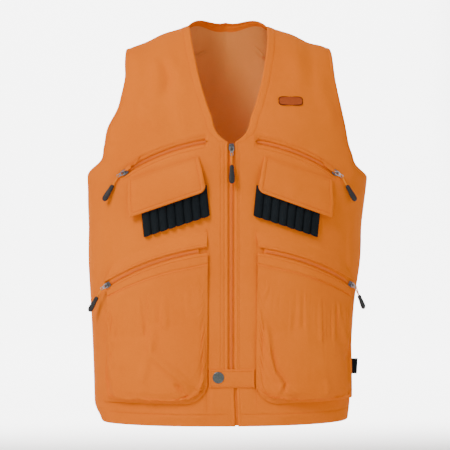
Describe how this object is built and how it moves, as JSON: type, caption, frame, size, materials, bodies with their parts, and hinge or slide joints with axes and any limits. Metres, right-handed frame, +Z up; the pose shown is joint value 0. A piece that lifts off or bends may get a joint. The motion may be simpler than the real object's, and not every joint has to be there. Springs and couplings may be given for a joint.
{
  "type": "blaze orange vest",
  "caption": "Sleeveless blaze orange field vest with a V neck, centre-front zip, slanted chest zips, flapped cartridge loops and bellows cargo pockets.",
  "frame": {"origin": "midpoint between the neck ends of the two shoulder seams", "axes": "+Z up, the front faces -Y, +X to the wearer's left"},
  "size_m": [0.4868, 0.2631, 0.696],
  "materials": {
    "blaze_cloth": "matt brushed twill",
    "lining": "matt woven",
    "zip_tape": "matt knitted tape",
    "zip_coil": "satin nylon",
    "elastic": "ribbed black elastic",
    "cord": "bright braided cord",
    "grip": "moulded matt rubber",
    "zip_metal": "brushed grey die-cast metal",
    "snap_metal": "gunmetal plate",
    "badge": "dark red woven"
  },
  "bodies": {
    "shell": {"back_lining": "lining", "back_panel": "blaze_cloth", "chest_badge": "badge", "left_cartridge_loops": "elastic", "left_chest_pocket_bag": "lining", "left_chest_zip_chain": "zip_coil", "left_chest_zip_tape": "zip_tape", "left_front_panel": "blaze_cloth", "left_hanger_tape": "zip_tape", "left_neck_facing": "blaze_cloth", "left_pocket_bellows": "blaze_cloth", "left_pocket_facing": "blaze_cloth", "left_pocket_zip_chain": "zip_coil", "left_pocket_zip_tape": "zip_tape", "main_zip_chain_left": "zip_coil", "main_zip_chain_right": "zip_coil", "main_zip_tape_left": "zip_tape", "main_zip_tape_right": "zip_tape", "right_cartridge_loops": "elastic", "right_chest_pocket_bag": "lining", "right_chest_zip_chain": "zip_coil", "right_chest_zip_tape": "zip_tape", "right_front_panel": "blaze_cloth", "right_hanger_tape": "zip_tape", "right_neck_facing": "blaze_cloth", "right_pocket_bellows": "blaze_cloth", "right_pocket_facing": "blaze_cloth", "right_pocket_zip_chain": "zip_coil", "right_pocket_zip_tape": "zip_tape", "side_label": "elastic", "snap_stud": "snap_metal"},
    "main_zip_slider_body": {"main_zip_slider": "zip_metal"},
    "main_zip_puller_body": {"main_zip_puller": "zip_metal"},
    "main_zip_grip_body": {"main_zip_cord": "cord", "main_zip_grip": "grip"},
    "right_chest_zip_slider_body": {"right_chest_zip_slider": "zip_metal"},
    "right_chest_zip_puller_body": {"right_chest_zip_puller": "zip_metal"},
    "right_chest_zip_grip_body": {"right_chest_zip_cord": "cord", "right_chest_zip_grip": "grip"},
    "left_chest_zip_slider_body": {"left_chest_zip_slider": "zip_metal"},
    "left_chest_zip_puller_body": {"left_chest_zip_puller": "zip_metal"},
    "left_chest_zip_grip_body": {"left_chest_zip_cord": "cord", "left_chest_zip_grip": "grip"},
    "right_pocket_zip_slider_body": {"right_pocket_zip_slider": "zip_metal"},
    "right_pocket_zip_puller_body": {"right_pocket_zip_puller": "zip_metal"},
    "right_pocket_zip_grip_body": {"right_pocket_zip_cord": "cord", "right_pocket_zip_grip": "grip"},
    "left_pocket_zip_slider_body": {"left_pocket_zip_slider": "zip_metal"},
    "left_pocket_zip_puller_body": {"left_pocket_zip_puller": "zip_metal"},
    "left_pocket_zip_grip_body": {"left_pocket_zip_cord": "cord", "left_pocket_zip_grip": "grip"},
    "right_flap_body": {"right_flap": "blaze_cloth"},
    "left_flap_body": {"left_flap": "blaze_cloth"},
    "snap_tab_body": {"snap_tab": "blaze_cloth", "snap_cap": "snap_metal"}
  },
  "joints": [
    {"name": "main_zip_slide", "type": "slide", "parent": "shell", "child": "main_zip_slider_body", "axis": [0, 0, -1], "range_m": [0, 0.355]},
    {"name": "right_chest_zip_slide", "type": "hinge", "parent": "shell", "child": "right_chest_zip_slider_body", "pos_m": [-0.00253, 0.07533, -0.40445], "axis": [-0.093, 0.7089, 0.6992], "range_deg": [0, 28.32]},
    {"name": "right_pocket_zip_slide", "type": "hinge", "parent": "shell", "child": "right_pocket_zip_slider_body", "pos_m": [-0.02313, 0.07892, -0.54249], "axis": [-0.1126, 0.5955, 0.7954], "range_deg": [0, 35.19]},
    {"name": "left_chest_zip_slide", "type": "hinge", "parent": "shell", "child": "left_chest_zip_slider_body", "pos_m": [0.0026, 0.07586, -0.40395], "axis": [-0.0937, -0.7071, -0.7009], "range_deg": [0, 28.32]},
    {"name": "left_pocket_zip_slide", "type": "hinge", "parent": "shell", "child": "left_pocket_zip_slider_body", "pos_m": [0.03429, 0.06674, -0.48406], "axis": [-0.1482, -0.4396, -0.8859], "range_deg": [0, 43.9]},
    {"name": "main_zip_puller_turn", "type": "hinge", "parent": "main_zip_slider_body", "child": "main_zip_puller_body", "pos_m": [0, -0.1327, -0.217], "axis": [-1, 0, 0], "range_deg": [0, 160]},
    {"name": "main_zip_grip_swing", "type": "hinge", "parent": "main_zip_puller_body", "child": "main_zip_grip_body", "pos_m": [0, -0.13429, -0.22829], "axis": [0, -0.9903, 0.1392], "range_deg": [-25, 25]},
    {"name": "right_chest_zip_puller_turn", "type": "hinge", "parent": "right_chest_zip_slider_body", "child": "right_chest_zip_puller_body", "pos_m": [-0.17795, -0.09801, -0.25752], "axis": [-0.482, 0.1216, 0.8677], "range_deg": [0, 112]},
    {"name": "right_chest_zip_grip_swing", "type": "hinge", "parent": "right_chest_zip_puller_body", "child": "right_chest_zip_grip_body", "pos_m": [-0.18743, -0.09518, -0.26319], "axis": [-0.2759, -0.961, -0.0186], "range_deg": [-25, 25]},
    {"name": "left_chest_zip_puller_turn", "type": "hinge", "parent": "left_chest_zip_slider_body", "child": "left_chest_zip_puller_body", "pos_m": [0.17795, -0.09798, -0.25749], "axis": [-0.4814, -0.1215, -0.8681], "range_deg": [0, 112]},
    {"name": "left_chest_zip_grip_swing", "type": "hinge", "parent": "left_chest_zip_puller_body", "child": "left_chest_zip_grip_body", "pos_m": [0.18744, -0.09514, -0.26314], "axis": [0.2765, -0.9608, -0.0188], "range_deg": [-25, 25]},
    {"name": "right_pocket_zip_puller_turn", "type": "hinge", "parent": "right_pocket_zip_slider_body", "child": "right_pocket_zip_puller_body", "pos_m": [-0.20719, -0.08889, -0.4468], "axis": [-0.4685, 0.1644, 0.868], "range_deg": [0, 150]},
    {"name": "right_pocket_zip_grip_swing", "type": "hinge", "parent": "right_pocket_zip_puller_body", "child": "right_pocket_zip_grip_body", "pos_m": [-0.21532, -0.0831, -0.45229], "axis": [-0.5204, -0.8453, -0.1208], "range_deg": [-25, 25]},
    {"name": "left_pocket_zip_puller_turn", "type": "hinge", "parent": "left_pocket_zip_slider_body", "child": "left_pocket_zip_puller_body", "pos_m": [0.2086, -0.07128, -0.44714], "axis": [-0.4276, -0.1798, -0.8859], "range_deg": [0, 150]},
    {"name": "left_pocket_zip_grip_swing", "type": "hinge", "parent": "left_pocket_zip_puller_body", "child": "left_pocket_zip_grip_body", "pos_m": [0.21561, -0.06375, -0.45205], "axis": [0.6629, -0.7286, -0.1721], "range_deg": [-25, 25]},
    {"name": "right_flap_lift", "type": "hinge", "parent": "shell", "child": "right_flap_body", "pos_m": [-0.0554, -0.13662, -0.23337], "axis": [-0.929, 0.2211, -0.2968], "range_deg": [0, 150]},
    {"name": "left_flap_lift", "type": "hinge", "parent": "shell", "child": "left_flap_body", "pos_m": [0.05544, -0.13674, -0.23339], "axis": [-0.9285, -0.2229, 0.2971], "range_deg": [0, 150]},
    {"name": "snap_tab_open", "type": "hinge", "parent": "shell", "child": "snap_tab_body", "pos_m": [0.0385, -0.1314, -0.6005], "axis": [0, 0, 1], "range_deg": [0, 110]}
  ]
}
